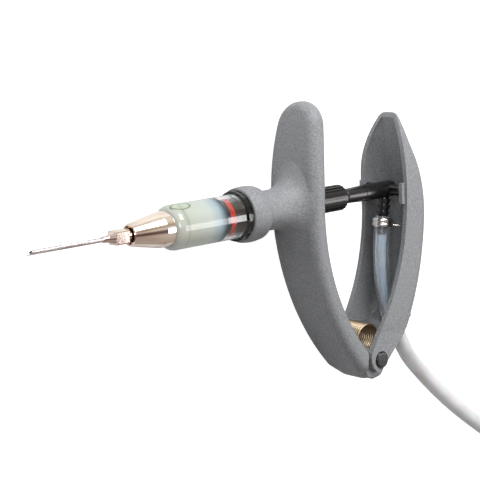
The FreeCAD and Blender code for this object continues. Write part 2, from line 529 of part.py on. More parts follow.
def draw_ellipse(sketch, long_half, short_half):
    """An ellipse about the sketch's origin, its long axis along the sketch's first axis."""
    long_end, short_end = Vector(size(long_half), 0, 0), Vector(0, size(short_half), 0)
    index = sketch.addGeometry(Part.Ellipse(long_end, short_end, Vector(0, 0, 0)))
    sketch.exposeInternalGeometry(index)
    sketch.addConstraint(Sketcher.Constraint("Coincident", index, 3, -1, 1))
    sketch.addConstraint(Sketcher.Constraint("Horizontal", index + 1))
    for line, half in ((index + 1, long_half), (index + 2, short_half)):
        number = sketch.addConstraint(Sketcher.Constraint("Distance", line, 2 * size(half)))
        sketch.setExpression(f"Constraints[{number}]", bound(f"2 * {half}"))


def plate_face(face_x, radius, y_text):
    """Where a curved face of the front handle's plate is at some height."""
    return f"({face_x} + {radius} - sqrt({radius} ^ 2 - ({y_text} - plate_vertex_y) ^ 2))"


def cut_plate_outline(body):
    """Cuts away everything outside the plate's outline as seen along the barrel."""
    around = new_sketch(body, "plate_outline", "YZ_Plane", "plate_front_x - 1")
    low, high, wide = "(heel_bottom_y - 9)", "(plate_top_y + 9)", "(plate_half_width + 9)"
    draw_outline(around, [(low, f"0 - {wide}"), (high, f"0 - {wide}"), (high, wide), (low, wide)])
    top_y = "(plate_top_y - plate_top_round + plate_top_round * sin(plate_top_angle))"
    top_z = "(plate_top_round * cos(plate_top_angle))"
    inward = f"(plate_half_width - {top_z})"
    side = f"((({top_y} - plate_wide_y) ^ 2 + {inward} ^ 2) / (2 * {inward}))"
    draw_outline(around, [
        ("heel_bottom_y", "0 - heel_half_width", "heel_corner_round", -1),
        ("heel_corner_y", "0 - plate_low_half_width"), ("plate_wide_y", "0 - plate_half_width", side, 1),
        (top_y, f"0 - {top_z}", "plate_top_round", 1), ("plate_top_y", "0", "plate_top_round", 1),
        (top_y, top_z, side, 1), ("plate_wide_y", "plate_half_width"),
        ("heel_corner_y", "plate_low_half_width", "heel_corner_round", -1),
        ("heel_bottom_y", "heel_half_width")])
    return extrude(body, around, "pivot_x - plate_front_x + 20", cut=True, backwards=True)


def sharp_rim(edge):
    """An edge of the plate that does not run straight across it."""
    box = edge.BoundBox
    return not (box.XLength < 0.01 and box.YLength < 0.01)


def make_front_handle():
    """Front handle: curved plate, heel, neck, barrel socket, pivot tongue and spring pocket."""
    body = doc.addObject("PartDesign::Body", "front_handle")
    heel_back = "(pivot_x + tongue_radius)"
    heel_turn = f"({heel_back} - heel_back_round)"
    side = new_sketch(body, "plate_side")
    draw_outline(side, [
        (plate_face("plate_front_x", "plate_high_radius", "plate_top_y"), "plate_top_y",
         "plate_high_radius", 1),
        ("plate_front_x", "plate_vertex_y", "plate_front_low_radius", 1),
        (plate_face("plate_front_x", "plate_front_low_radius", "heel_front_y"), "heel_front_y",
         "heel_round", 1),
        (heel_turn, "heel_bottom_y", "heel_back_round", 1),
        (plate_face(PLATE_BACK, "plate_back_low_radius", "(heel_front_y + 1)"), "heel_front_y + 1",
         "plate_back_low_radius", -1),
        (PLATE_BACK, "plate_vertex_y", "plate_high_radius", -1),
        (plate_face(PLATE_BACK, "plate_high_radius", "plate_top_y"), "plate_top_y")])
    extrude(body, side, "2 * plate_half_width", symmetric=True)
    plate = cut_plate_outline(body)
    dress(body, "Fillet", plate, sharp_rim, "plate_edge_round")
    add_neck(body)
    add_tongue(body, heel_back, heel_turn)
    cut_pivot_room(body)
    return body


def add_neck(body):
    """The collar and neck, the flare that joins them to the plate, and the stepped bore."""
    collar = new_sketch(body, "collar")
    turn_x, top = "(collar_back_x - collar_back_round)", "(collar_diameter / 2)"
    width = f"({turn_x} - collar_front_x - collar_front_round)"
    side_radius = f"({width} ^ 2 / (8 * collar_bulge) + collar_bulge / 2)"
    low = "(neck_diameter / 2 - 0.8)"
    reach = f"sqrt(collar_back_round ^ 2 - ({low} - {top} + collar_back_round) ^ 2)"
    draw_outline(collar, [
        ("collar_front_x", "0"), ("collar_front_x", f"{top} - collar_front_round", "collar_front_round", -1),
        ("collar_front_x + collar_front_round", top, side_radius, -1),
        (turn_x, top, "collar_back_round", -1),
        (f"{turn_x} + {reach}", low), (f"{turn_x} + {reach}", "0")])
    turn(body, collar)
    sections = []
    for number, (x_text, up, aside) in enumerate([
            ("collar_back_x - 3", "0 - 0.5", "0 - 0.5"), ("collar_back_x + 0.6", "0", "0"),
            *[(f"plate_front_x - flare_length * (1 - sin({angle}))", f"flare_height * (1 - cos({angle}))",
               f"flare_width * (1 - cos({angle}))") for angle in (8, 32, 54, 73)],
            ("plate_front_x + 1.6", "flare_height * 1.2", "flare_width * 1.2")]):
        section = new_sketch(body, f"flare_{number}", "YZ_Plane", x_text)
        draw_ellipse(section, f"(neck_diameter / 2 + 0.02 + {up})", f"(neck_diameter / 2 + {aside})")
        sections.append(section)
    doc.recompute()
    loft(body, sections)
    bore = new_sketch(body, "handle_bore")
    socket = "(flange_diameter / 2 + seat_clearance)"
    knob_hole, end = "(knob_hub_diameter / 2 + slide_gap)", f"({PLATE_BACK} + 5)"
    draw_outline(bore, [
        ("collar_front_x - 1", "0"), ("collar_front_x - 1", socket), (SOCKET_FLOOR, socket),
        (SOCKET_FLOOR, "piston_room_diameter / 2"), ("bush_x", "piston_room_diameter / 2"),
        ("bush_x", "bush_diameter / 2"), ("bush_x + bush_length", "bush_diameter / 2"),
        ("bush_x + bush_length", "rod_passage_diameter / 2"),
        ("knob_hub_x - head_gap", "rod_passage_diameter / 2"), ("knob_hub_x - head_gap", knob_hole),
        (end, knob_hole), (end, "0")])
    turn(body, bore, cut=True)


def add_tongue(body, heel_back, heel_turn):
    """The middle of the heel, which reaches behind the pivot between the rear handle's ears."""
    tongue = new_sketch(body, "tongue")
    foot_x = plate_face(PLATE_BACK, "plate_back_low_radius", "plate_foot_y")
    draw_outline(tongue, [
        (f"{heel_turn} - 4", "heel_bottom_y + 3"), (f"{heel_turn} + 0.5", "heel_bottom_y + 0.25",
                                                    "heel_back_round", 1),
        (heel_back, "heel_bottom_y + heel_back_round - 0.4"), (heel_back, "pivot_y", "tongue_radius", 1),
        ("pivot_x + tongue_radius * cos(100)", "pivot_y + tongue_radius * sin(100)"),
        (f"{foot_x} - 2", "plate_foot_y + 0.5"), (f"{foot_x} - 3", "plate_foot_y - 5")])
    extrude(body, tongue, "2 * tongue_half_width", symmetric=True)
    corners = new_sketch(body, "heel_corners", "YZ_Plane", f"{heel_turn} - 3.5")
    low = "(heel_bottom_y - 2)"
    inner, outer = "(heel_half_width + 0.7)", "(heel_half_width + 4.2)"
    for side in (1, -1):
        corner = [("(heel_bottom_y - 0.2)", f"{side} * {inner}"), (low, f"{side} * {inner}"),
                  (low, f"{side} * {outer}"), ("(heel_bottom_y + 2.9)", f"{side} * {outer}")]
        draw_outline(corners, corner if side > 0 else corner[::-1])
    extrude(body, corners, "2 * tongue_radius + 5", cut=True, backwards=True)


def cut_pivot_room(body):
    """Side rebates for the ears, the pin's bore, the coil's pocket and its leg's channel."""
    for name, start, upwards in (("ear_room_near", "tongue_half_width", True),
                                 ("ear_room_far", "0 - tongue_half_width", False)):
        room = new_sketch(body, name, offset=start)
        draw_circle(room, "pivot_x", "pivot_y", f"2 * ({EAR_RADIUS} + ear_clearance)")
        extrude(body, room, "plate_half_width", cut=True, backwards=upwards)
    pocket = new_sketch(body, "coil_pocket")
    draw_circle(pocket, "coil_x", "coil_y", "coil_diameter + coil_wire + 2 * coil_pocket_gap")
    extrude(body, pocket, f"2 * {COIL_HALF} + coil_wire + 2 * coil_pocket_gap", cut=True, symmetric=True)
    channel = new_sketch(body, "leg_channel", offset=f"{COIL_HALF} - coil_wire / 2 - head_gap",
                         shift=LEG_START, yaw="leg_angle")
    left, low = "0 - front_leg - 2 * head_gap", "0 - coil_wire / 2 - head_gap"
    draw_outline(channel, [(left, low), ("coil_wire", low), ("coil_wire", "3 * coil_wire"),
                           (left, "3 * coil_wire")])
    extrude(body, channel, "coil_wire + 2 * head_gap", cut=True, backwards=True)
    bore = new_sketch(body, "pin_bore")
    draw_circle(bore, "pivot_x", "pivot_y", "pin_diameter + 2 * seat_clearance")
    extrude(body, bore, "2 * plate_half_width", cut=True, symmetric=True)


def rim_at(y_text):
    """Where the rear handle's open front edge is at some height."""
    y, low_end = size(y_text), size("rim_low_y - rim_low_radius * sin(rim_low_angle)")
    if y > size("rim_high_y"):
        return f"(rim_x + rim_high_radius - sqrt(rim_high_radius ^ 2 - ({y_text} - rim_high_y) ^ 2))"
    if y > size("rim_low_y"):
        return "rim_x"
    if y > low_end:
        return f"({RIM_CENTRE_X} + sqrt(rim_low_radius ^ 2 - ({y_text} - rim_low_y) ^ 2))"
    return (f"({RIM_CENTRE_X} + rim_low_radius / cos(rim_low_angle)"
            f" + ({y_text} - rim_low_y) * tan(rim_low_angle))")


def back_at(y_text):
    """Where the rear handle's back is at some height."""
    y = size(y_text)
    high_x = "(back_x - back_high_radius + back_high_radius * cos(back_high_angle))"
    high_y = "(back_y + back_high_radius * sin(back_high_angle))"
    if y < size("back_y"):
        return f"(back_x - back_low_radius + sqrt(back_low_radius ^ 2 - ({y_text} - back_y) ^ 2))"
    if y < size(high_y):
        return f"(back_x - back_high_radius + sqrt(back_high_radius ^ 2 - ({y_text} - back_y) ^ 2))"
    tip_x = f"({rim_at('tip_y')} + tip_flat)"
    return f"({high_x} + ({tip_x} - {high_x}) * ({y_text} - {high_y}) / (tip_y - {high_y}))"


def half_width_at(y_text):
    """Half of the rear handle's width at some height."""
    y = size(y_text)
    if y >= size("tip_y"):
        return "tip_half_width"
    if y > size("shell_wide_y"):
        drop = f"sqrt(shell_top_radius ^ 2 - ({y_text} - shell_wide_y) ^ 2)"
        return f"(shell_half_width - shell_top_radius + {drop})"
    return (f"(ear_half_width + (shell_half_width - ear_half_width)"
            f" * ({y_text} - shell_bottom_y) / (shell_wide_y - shell_bottom_y))")


def shell_section(body, name, y_text, inset):
    """A cross-section of the rear handle: straight front and sides, rounded back corners."""
    section = new_sketch(body, name, "XZ_Plane", f"0 - {y_text}")
    front = rim_at(y_text) if inset == "0" else f"({rim_at(y_text)} - 1)"
    back, half = f"({back_at(y_text)} - {inset})", f"({half_width_at(y_text)} - {inset})"
    corner = (f"min(shell_back_round - {inset} / 2; 0.8 * ({back_at(y_text)} - {rim_at(y_text)} - {inset});"
              f" 0.75 * {half})")
    turn_x, turn_z = f"({back} - {corner})", f"({half} - {corner})"
    draw_outline(section, [
        (front, f"0 - {half}"), (turn_x, f"0 - {half}", corner, 1), (back, f"0 - {turn_z}"),
        (back, turn_z, corner, 1), (turn_x, half), (front, half)])
    return section


def make_rear_handle():
    """Rear handle: hollow leaf-shaped shell, ears, trunnion seats, boss and tube notch."""
    body = doc.addObject("PartDesign::Body", "rear_handle")
    low = [f"(shell_bottom_y + {part} * (shell_wide_y - shell_bottom_y))"
           for part in (0, 0.13, 0.29, 0.47, 0.65, 0.83, 1)]
    high = [f"(shell_wide_y + {part} * (tip_y - shell_wide_y))" for part in (0.3, 0.54, 0.72)]
    top = [f"(shell_wide_y + {part} * (tip_y - shell_wide_y))" for part in (0.86, 0.95)]
    outer = [shell_section(body, f"outside_{number}", y_text, "0")
             for number, y_text in enumerate(low + high + top + ["tip_y"])]
    doc.recompute()
    loft(body, outer)
    inner = [shell_section(body, f"inside_{number}", y_text, "shell_wall")
             for number, y_text in enumerate(["(shell_bottom_y - 1)"] + low[1:] + high + ["hollow_top_y"])]
    doc.recompute()
    loft(body, inner, cut=True)
    foot = new_sketch(body, "shell_foot")
    start, end = [tuple(part.format(reach) for part in EAR_LINE) for reach in ("(0 - 20)", "40")]
    draw_outline(foot, [start, (end[0], start[1]), end])
    extrude(body, foot, "4 * shell_half_width", cut=True, symmetric=True)
    add_ears(body)
    add_back_strip(body)
    add_seats(body)
    notch = new_sketch(body, "tube_notch", "YZ_Plane", "pivot_x + 11")
    half = "(hose_diameter / 2 + exit_gap)"
    draw_outline(notch, [("notch_low_y", f"0 - {half}"), ("notch_y", f"0 - {half}", f"1.15 * {half}", 1),
                         ("notch_y", half), ("notch_low_y", half, f"1.15 * {half}", 1)])
    extrude(body, notch, "shell_half_width * 2", cut=True, backwards=True)
    return body


def add_ears(body):
    """Two side ears from the shell down round the pivot, with the pin's holes and recesses."""
    touch = (f"pivot_x - {EAR_RADIUS} * cos(rim_low_angle)", f"pivot_y + {EAR_RADIUS} * sin(rim_low_angle)")
    toe = tuple(part.format("(0 - ear_toe)") for part in EAR_LINE)
    rise = tuple(part.format("19") for part in EAR_LINE)
    for name, start in (("ear_near", EAR_INSIDE), ("ear_far", "0 - ear_half_width")):
        ear = new_sketch(body, name, offset=start)
        draw_outline(ear, [(*touch, "ear_round", 1), toe, rise, (rise[0], "ear_top_y"),
                           (rim_at("ear_top_y"), "ear_top_y")])
        extrude(body, ear, f"ear_half_width - {EAR_INSIDE}")
    hole = new_sketch(body, "pivot_holes")
    draw_circle(hole, "pivot_x", "pivot_y", "pin_diameter + 2 * pin_gap")
    extrude(body, hole, "4 * ear_half_width", cut=True, symmetric=True)
    for name, start, upwards in (("head_recess_near", HEAD_FLOOR, True),
                                 ("head_recess_far", f"0 - {HEAD_FLOOR}", False)):
        recess = new_sketch(body, name, offset=start)
        draw_circle(recess, "pivot_x", "pivot_y", "pin_head_diameter + 2 * head_gap")
        extrude(body, recess, "head_recess + 2", cut=True, backwards=upwards)


def add_back_strip(body):
    """The back wall carried on between the ears, where the return spring's leg bears."""
    strip = new_sketch(body, "back_strip", shift=("pivot_x", "pivot_y"), yaw="ear_back_angle")
    outer, inner = "0 - ear_back_offset", "shell_wall - ear_back_offset"
    draw_outline(strip, [("strip_low", outer), ("strip_high", outer), ("strip_high", inner),
                         ("strip_low", inner)])
    extrude(body, strip, f"2 * ({EAR_INSIDE} + 0.5)", symmetric=True)


def add_seats(body):
    """Tabs beside the elbow with slots in which its trunnions slide, and a boss on the back wall."""
    reach = "(shell_half_width - tab_inner_half_width - shell_wall / 2)"
    low = "seat_tab_top - seat_tab_height"
    for name, start in (("seat_near", "tab_inner_half_width"),
                        ("seat_far", f"0 - tab_inner_half_width - {reach}")):
        tab = new_sketch(body, name, offset=start)
        draw_outline(tab, [("seat_tab_front", low), ("seat_tab_back", low),
                           ("seat_tab_back", "seat_tab_top"), ("seat_tab_front", "seat_tab_top")])
        extrude(body, tab, reach)
    slot = new_sketch(body, "seat_slot")
    half = "(journal_diameter / 2 + seat_gap)"
    lean = "atan((trunnion_x - pivot_x) / (0 - pivot_y))"
    ends = []
    low_end, high_end = f"(0 - seat_travel - 0.42 * {half})", f"(seat_end_gap + 0.42 * {half})"
    for along, side in ((low_end, -1), (low_end, 1), (high_end, 1), (high_end, -1)):
        ends.append((f"trunnion_x + {along} * sin({lean}) + {side} * {half} * cos({lean})",
                     f"{along} * cos({lean}) - {side} * {half} * sin({lean})"))
    draw_outline(slot, [(*ends[0], f"1.15 * {half}", 1), ends[1], (*ends[2], f"1.15 * {half}", 1), ends[3]])
    extrude(body, slot, "2 * (journal_half_length + head_gap)", cut=True, symmetric=True)
    boss = new_sketch(body, "boss", "YZ_Plane", f"{back_at('post_y')} - shell_wall - post_length")
    draw_circle(boss, "post_y", "post_side", "post_diameter")
    extrude(body, boss, "post_length + shell_wall / 2")


def make_pivot():
    """Pivot pin with a domed head in the near ear, and the matching cap on the far side."""
    under_head = f"({HEAD_FLOOR} + head_gap)"
    for name, start, upwards in (("pivot_pin", under_head, False),
                                 ("pivot_pin_cap", f"0 - {under_head}", True)):
        body = doc.addObject("PartDesign::Body", name)
        head = new_sketch(body, f"{name}_head", offset=start)
        draw_circle(head, "pivot_x", "pivot_y", "pin_head_diameter")
        disc = extrude(body, head, "pin_head_height", backwards=upwards)
        dome = size(f"{under_head} + pin_head_height")
        dress(body, "Fillet", disc, lambda edge: abs(abs(edge.BoundBox.ZMax) - dome) < 0.01
              and edge.BoundBox.ZLength < 0.01, "pin_head_height * 0.6")
        if name == "pivot_pin":
            shaft = new_sketch(body, "pivot_shaft", offset=f"0 - {under_head}")
            draw_circle(shaft, "pivot_x", "pivot_y", "pin_diameter")
            extrude(body, shaft, f"2 * {under_head}")


def wire_legs(helix, first, last):
    """The edges of a wound wire with a straight leg along the tangent at each end."""
    edges = helix.Edges
    start = edges[0].valueAt(edges[0].FirstParameter)
    outward = edges[0].tangentAt(edges[0].FirstParameter)
    end = edges[-1].valueAt(edges[-1].LastParameter)
    onward = edges[-1].tangentAt(edges[-1].LastParameter)
    legs = [Part.makeLine(start - outward * first, start)] if first else []
    return legs + edges + ([Part.makeLine(end, end + onward * last)] if last else [])


def make_return_spring():
    """Torsion spring above the pivot: one leg in the heel, the other on the rear handle's bar."""
    half = size(COIL_HALF)
    helix = Part.makeHelix(size("coil_pitch"), 2 * half, size("coil_diameter / 2"))
    helix = helix.mirror(Vector(0, 0, 0), Vector(0, 0, 1))
    turned = Rotation(Vector(0, 0, 1), size("leg_angle") - 90)
    placed = [edge.transformed(Placement(Vector(size("coil_x"), size("coil_y"), half), turned).toMatrix())
              for edge in helix.Edges]
    edges = wire_legs(Part.Wire(placed), size("front_leg"), size("rear_leg"))
    shape_feature("return_spring", swept_wire(edges, size("coil_wire")))


def barb_point(along):
    """A point on the leaning barb's axis, by its distance from the root."""
    lean = math.radians(size("barb_lean"))
    return Vector(size("barb_root_x") - along * math.sin(lean), -along * math.cos(lean), 0)


def make_clamp():
    """Band clamp with two rolled beads round the tube on the barb, and one free tang of wire."""
    inner = size("hose_diameter / 2 + slide_gap")
    wall, bead = size("clamp_wall"), size("clamp_bead")
    along = (barb_point(1) - barb_point(0)).normalize()
    radial = Vector(-along.y, along.x, 0)
    middle = barb_point(size("clamp_at"))

    def spot(radius, place):
        return middle + radial * radius + along * place

    outer, crest = inner + wall, inner + wall + bead / 4
    edges = [Part.Arc(spot(outer, start), spot(crest, start + bead / 2), spot(outer, start + bead)).toShape()
             for start in (-bead, 0)]
    edges += [Part.makeLine(spot(outer, bead), spot(inner, bead)),
              Part.makeLine(spot(inner, bead), spot(inner, -bead)),
              Part.makeLine(spot(inner, -bead), spot(outer, -bead))]
    band = Part.Face(Part.Wire(edges)).revolve(middle, along, 360)
    across = Vector(0.75, 0, 0.66)
    across = (across - along * across.dot(along)).normalize()
    root = middle + along * (bead / 2) + across * (inner + wall / 2)
    tang = Part.makeCylinder(size("clamp_wire / 2"), wall / 2 + size("clamp_tang"), root, across)
    shape_feature("hose_clamp", band.fuse(tang))


def rounded_route(points):
    """Straight runs through the points joined by tangent arcs, each as large as its runs allow."""
    edges, start = [], points[0]
    for before, corner, after in zip(points, points[1:], points[2:]):
        arriving, leaving = corner - before, after - corner
        turn_angle = arriving.getAngle(leaving)
        reach = 0.45 * min(arriving.Length, leaving.Length)
        first, last = corner - arriving.normalize() * reach, corner + leaving.normalize() * reach
        bulge = (arriving - leaving).normalize() * reach * math.tan(turn_angle / 4)
        middle = (first + last) / 2 + bulge
        edges += [Part.makeLine(start, first), Part.Arc(first, middle, last).toShape()]
        start = last
        print(f"route radius {reach / math.tan(turn_angle / 2):.1f}, turn {math.degrees(turn_angle):.1f}")
    return edges + [Part.makeLine(start, points[-1])]


def tube(edges):
    """A round tube along a route, from its outer and inner diameters."""
    outside = swept_wire(edges, size("hose_diameter"))
    return outside.cut(swept_wire(edges, size("hose_bore")))


def make_hoses():
    """Feed tube inside the handle, the hose outside it, its coil, tie and draw-off tip."""
    route = [Vector(*(size(part) for part in place)) for place in HOSE_PLACES]
    inside = [barb_point(size("hose_on_barb")), barb_point(26)] + route[:3]
    joint = route[2] * 0.6 + route[3] * 0.4
    shape_feature("feed_tube_inner", tube(rounded_route(inside + [joint])))
    heading = (route[-1] - route[-2]).normalize()
    entry = route[-1] - heading * size("hose_coil_stub")
    outer_edges = rounded_route([joint] + route[3:-1] + [entry])
    length = sum(edge.Length for edge in outer_edges)
    hose = tube(outer_edges)
    expected = math.pi / 4 * (size("hose_diameter") ** 2 - size("hose_bore") ** 2) * length
    print(f"hose length {length:.1f}, volume {hose.Volume:.1f}, section times length {expected:.1f}")
    shape_feature("feed_hose", hose)
    make_coil(route[-1], heading)


def turned_about(place, angle):
    """A vector turned about the upright axis by an angle in degrees."""
    return Rotation(Vector(0, 0, 1), angle).multVec(place)


def coil_section(centre, inward, inset):
    """Rounded square that holds two by two turns of the hose, seen on one side of the coil."""
    hose = size("hose_diameter")
    middle = centre + inward * size("hose_coil_diameter / 2") + Vector(0, 0, hose / 2)
    half, corner = hose - inset, hose / 2 - inset
    edges = []
    for step in range(4):
        places = [(half, corner - half), (half, half - corner)]
        bend = (half - corner * (1 - math.sqrt(0.5)),) * 2
        places += [bend, (half - corner, half)]
        spots = []
        for across, up in places:
            for _ in range(step):
                across, up = -up, across
            spots.append(middle + inward * across + Vector(0, 0, up))
        edges += [Part.makeLine(spots[0], spots[1]), Part.Arc(spots[1], spots[2], spots[3]).toShape()]
    return Part.Face(Part.Wire(edges))


def make_coil(entry, heading):
    """The rest of the hose, wound in a round coil on the ground, with a strap and a draw-off tip."""
    hose = size("hose_diameter")
    thin = hose - 2 * size("slide_gap")
    reach = size("hose_coil_diameter / 2") + hose / 2
    inward = Vector(heading.y, -heading.x, 0)
    centre = entry - inward * reach
    up = Vector(0, 0, 1)
    ring = coil_section(centre, inward, 0).revolve(centre, up, 360)
    tie_side = turned_about(inward, size("tie_place"))
    band, room = [coil_section(centre, tie_side, inset).revolve(centre, up, size("tie_angle"))
                  for inset in (0, size("tie_thickness"))]
    tie = band.cut(room)
    stub_length = size("hose_coil_stub")
    stub = Part.makeCylinder(thin / 2, stub_length, entry - heading * stub_length, heading)
    side, ahead = [turned_about(way, size("tail_angle")) for way in (inward, heading)]
    leaving = centre + side * reach + up * hose
    tail = [leaving, leaving + ahead * 2 * hose, leaving + ahead * 5 * hose - up * hose]
    tail.append(tail[-1] + ahead * size("hose_tail"))
    coil = ring.cut(tie).fuse([stub, swept_wire(rounded_route(tail), thin)])
    barb = size("spike_barb_length")
    bore = Part.makeCylinder(size("hose_bore / 2"), barb + 1, tail[-1] - ahead * (barb + 0.5), ahead)
    shape_feature("hose_coil", coil.cut(bore).removeSplitter())
    shape_feature("coil_tie", tie)
    spike = turned_body("draw_off_spike", [
        ("0 - spike_barb_length", "spike_bore / 2"), ("0 - spike_barb_length", "hose_bore / 2 - 0.4"),
        ("2 - spike_barb_length", "hose_bore / 2 - seat_clearance"), ("0", "hose_bore / 2 - seat_clearance"),
        ("0", "spike_grip_diameter / 2"), ("spike_grip_length", "spike_grip_diameter / 2"),
        ("spike_grip_length", "spike_diameter / 2"),
        ("spike_grip_length + spike_length - spike_point", "spike_diameter / 2"),
        ("spike_grip_length + spike_length", "spike_tip_diameter / 2"),
        ("spike_grip_length + spike_length", "spike_bore / 2")])
    spike.Placement = Placement(tail[-1], Rotation(Vector(1, 0, 0), ahead))


FREE_HOSE = ("feed_hose", "hose_coil", "coil_tie", "draw_off_spike")


def finish_part():
    """Puts the origin under the middle of the part, checks every object and writes the nodes."""
    nodes = [thing for thing in doc.Objects if thing.TypeId in ("PartDesign::Body", "Part::Feature")]
    doc.recompute()
    for thing in doc.Objects:
        if "Invalid" in thing.State or "Error" in thing.State:
            raise RuntimeError(f"{thing.Label} is not valid")
    boxes = [node.Shape.optimalBoundingBox(False) for node in nodes if node.Label not in FREE_HOSE]
    middle = Vector((min(box.XMin for box in boxes) + max(box.XMax for box in boxes)) / 2,
                    (min(box.YMin for box in boxes) + max(box.YMax for box in boxes)) / 2,
                    min(box.ZMin for box in boxes))
    for node in nodes:
        node.Placement = Placement(node.Placement.Base - middle, node.Placement.Rotation)
    doc.recompute()
    print(f"origin at x {middle.x:.3f}, y {middle.y:.3f}, z {middle.z:.3f} from the barrel's axis")
    os.makedirs("parts", exist_ok=True)
    for node in nodes:
        if node.Shape.isNull() or not node.Shape.isValid() or len(node.Shape.Solids) != 1:
            raise RuntimeError(f"{node.Label} is not one valid solid")
        node.Shape.exportStep(f"parts/{node.Label}.step")


for make in (make_needle, make_hub, make_nozzle, make_outlet_valve, make_barrel, make_piston,
             make_inlet_valve, make_rod, make_elbow, make_clamp, make_knob, make_front_handle,
             make_pivot, make_return_spring, make_rear_handle, make_hoses):
    make()
finish_part()
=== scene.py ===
"""Looks of the automatic syringe: finishes, the dose of fluid, the feed hose, the light and the camera.

Sizes are in millimetres from a point on the barrel's axis just behind its front, as in the part's
source: X runs along the barrel towards the handles, Y towards the handles' tips, Z up.
"""
from math import cos, pi, radians, sin

import bmesh
import bpy
from mathutils import Matrix, Vector


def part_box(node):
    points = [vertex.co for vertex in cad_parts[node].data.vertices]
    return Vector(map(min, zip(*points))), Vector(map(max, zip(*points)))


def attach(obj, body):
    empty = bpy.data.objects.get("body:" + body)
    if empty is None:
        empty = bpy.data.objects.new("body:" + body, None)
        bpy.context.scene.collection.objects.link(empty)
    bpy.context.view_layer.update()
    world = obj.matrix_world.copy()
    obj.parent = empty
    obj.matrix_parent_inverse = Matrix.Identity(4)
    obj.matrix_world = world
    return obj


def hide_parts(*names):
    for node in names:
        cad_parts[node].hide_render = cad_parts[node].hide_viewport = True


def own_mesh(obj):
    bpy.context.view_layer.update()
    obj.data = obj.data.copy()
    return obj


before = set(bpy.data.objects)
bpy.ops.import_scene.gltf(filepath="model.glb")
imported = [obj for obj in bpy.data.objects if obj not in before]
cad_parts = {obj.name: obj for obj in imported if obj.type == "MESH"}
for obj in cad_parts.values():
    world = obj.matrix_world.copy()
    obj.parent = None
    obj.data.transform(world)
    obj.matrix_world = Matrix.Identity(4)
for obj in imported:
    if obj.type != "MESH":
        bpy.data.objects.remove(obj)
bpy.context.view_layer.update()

MM = 0.001
BARREL_FRONT = -3.4
BARREL_LOW, BARREL_HIGH = (Vector(corner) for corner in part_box("barrel"))
AXIS_ORIGIN = (BARREL_LOW + BARREL_HIGH) / 2
AXIS_ORIGIN.x = BARREL_LOW.x - BARREL_FRONT * MM


def place(x, y, z=0.0):
    """A point given in millimetres from the axis origin, in the row frame."""
    return AXIS_ORIGIN + Vector((x, y, z)) * MM


# Camera: where the photograph was taken from, with the syringe held upright.
PICTURE_PIXELS = 480
FOCAL_PIXELS = 1449.1
SENSOR_MM = 36.0
CAMERA_AZIMUTH = 41.216
CAMERA_ELEVATION = 9.702
CAMERA_ROLL = 2.6555
CAMERA_DISTANCE = 622.48
AXIS_PIXEL = (171.25, 227.65)
CLIP_START = 0.01


def laid_down(x, y, z):
    """A direction of the upright syringe, as it points once the syringe lies on its far side."""
    return Vector((x, z, -y))


def make_camera():
    """The photograph's viewpoint, lens and roll."""
    azimuth, elevation, roll = (radians(angle) for angle in (CAMERA_AZIMUTH, CAMERA_ELEVATION, CAMERA_ROLL))
    back = laid_down(-sin(azimuth) * cos(elevation), -cos(azimuth) * cos(elevation), sin(elevation))
    level = laid_down(cos(azimuth), -sin(azimuth), 0)
    above = back.cross(level)
    right = level * cos(roll) - above * sin(roll)
    up = level * sin(roll) + above * cos(roll)
    per_pixel = CAMERA_DISTANCE / FOCAL_PIXELS
    aside, lower = (pixel - PICTURE_PIXELS / 2 for pixel in AXIS_PIXEL)
    spot = back * CAMERA_DISTANCE - right * aside * per_pixel + up * lower * per_pixel
    data = bpy.data.cameras.new("camera")
    data.sensor_width = SENSOR_MM
    data.lens = FOCAL_PIXELS * SENSOR_MM / PICTURE_PIXELS
    data.clip_start = CLIP_START
    camera = bpy.data.objects.new("camera", data)
    turned = Matrix((right, up, back)).transposed().to_4x4()
    camera.matrix_world = Matrix.Translation(place(*spot)) @ turned
    bpy.context.collection.objects.link(camera)
    bpy.context.scene.camera = camera
    return camera


# Materials
def new_material(name, colour, roughness, **sockets):
    """A material with one Principled shader, and its node tree."""
    material = bpy.data.materials.new(name)
    material.use_nodes = True
    tree = material.node_tree
    shader = tree.nodes["Principled BSDF"]
    shader.inputs["Base Color"].default_value = (*colour, 1)
    shader.inputs["Roughness"].default_value = roughness
    for socket, amount in sockets.items():
        shader.inputs[socket.replace("_", " ")].default_value = amount
    return material, tree, shader


def noise(tree, scale, detail=3.0, stretch=(1, 1, 1)):
    """Noise over the piece, with a scale in patches per metre."""
    where = tree.nodes.new("ShaderNodeTexCoord")
    mapping = tree.nodes.new("ShaderNodeMapping")
    mapping.inputs["Scale"].default_value = stretch
    texture = tree.nodes.new("ShaderNodeTexNoise")
    texture.inputs["Scale"].default_value = scale
    texture.inputs["Detail"].default_value = detail
    tree.links.new(where.outputs["Object"], mapping.inputs["Vector"])
    tree.links.new(mapping.outputs["Vector"], texture.inputs["Vector"])
    return texture.outputs["Fac"]


def along(tree, axis, start, end):
    """0 to 1 between two places on an axis of the row frame, in metres."""
    where = tree.nodes.new("ShaderNodeTexCoord")
    split = tree.nodes.new("ShaderNodeSeparateXYZ")
    reach = tree.nodes.new("ShaderNodeMapRange")
    reach.inputs["From Min"].default_value = start
    reach.inputs["From Max"].default_value = end
    tree.links.new(where.outputs["Object"], split.inputs["Vector"])
    tree.links.new(split.outputs[axis], reach.inputs["Value"])
    return reach.outputs["Result"]


def ramp(tree, factor, *stops):
    """Colours along a factor, from (place, colour) stops."""
    node = tree.nodes.new("ShaderNodeValToRGB")
    marks = node.color_ramp.elements
    while len(marks) < len(stops):
        marks.new(0.5)
    for mark, (spot, colour) in zip(marks, stops):
        mark.position = spot
        mark.color = (*colour, 1)
    tree.links.new(factor, node.inputs["Fac"])
    return node.outputs["Color"]


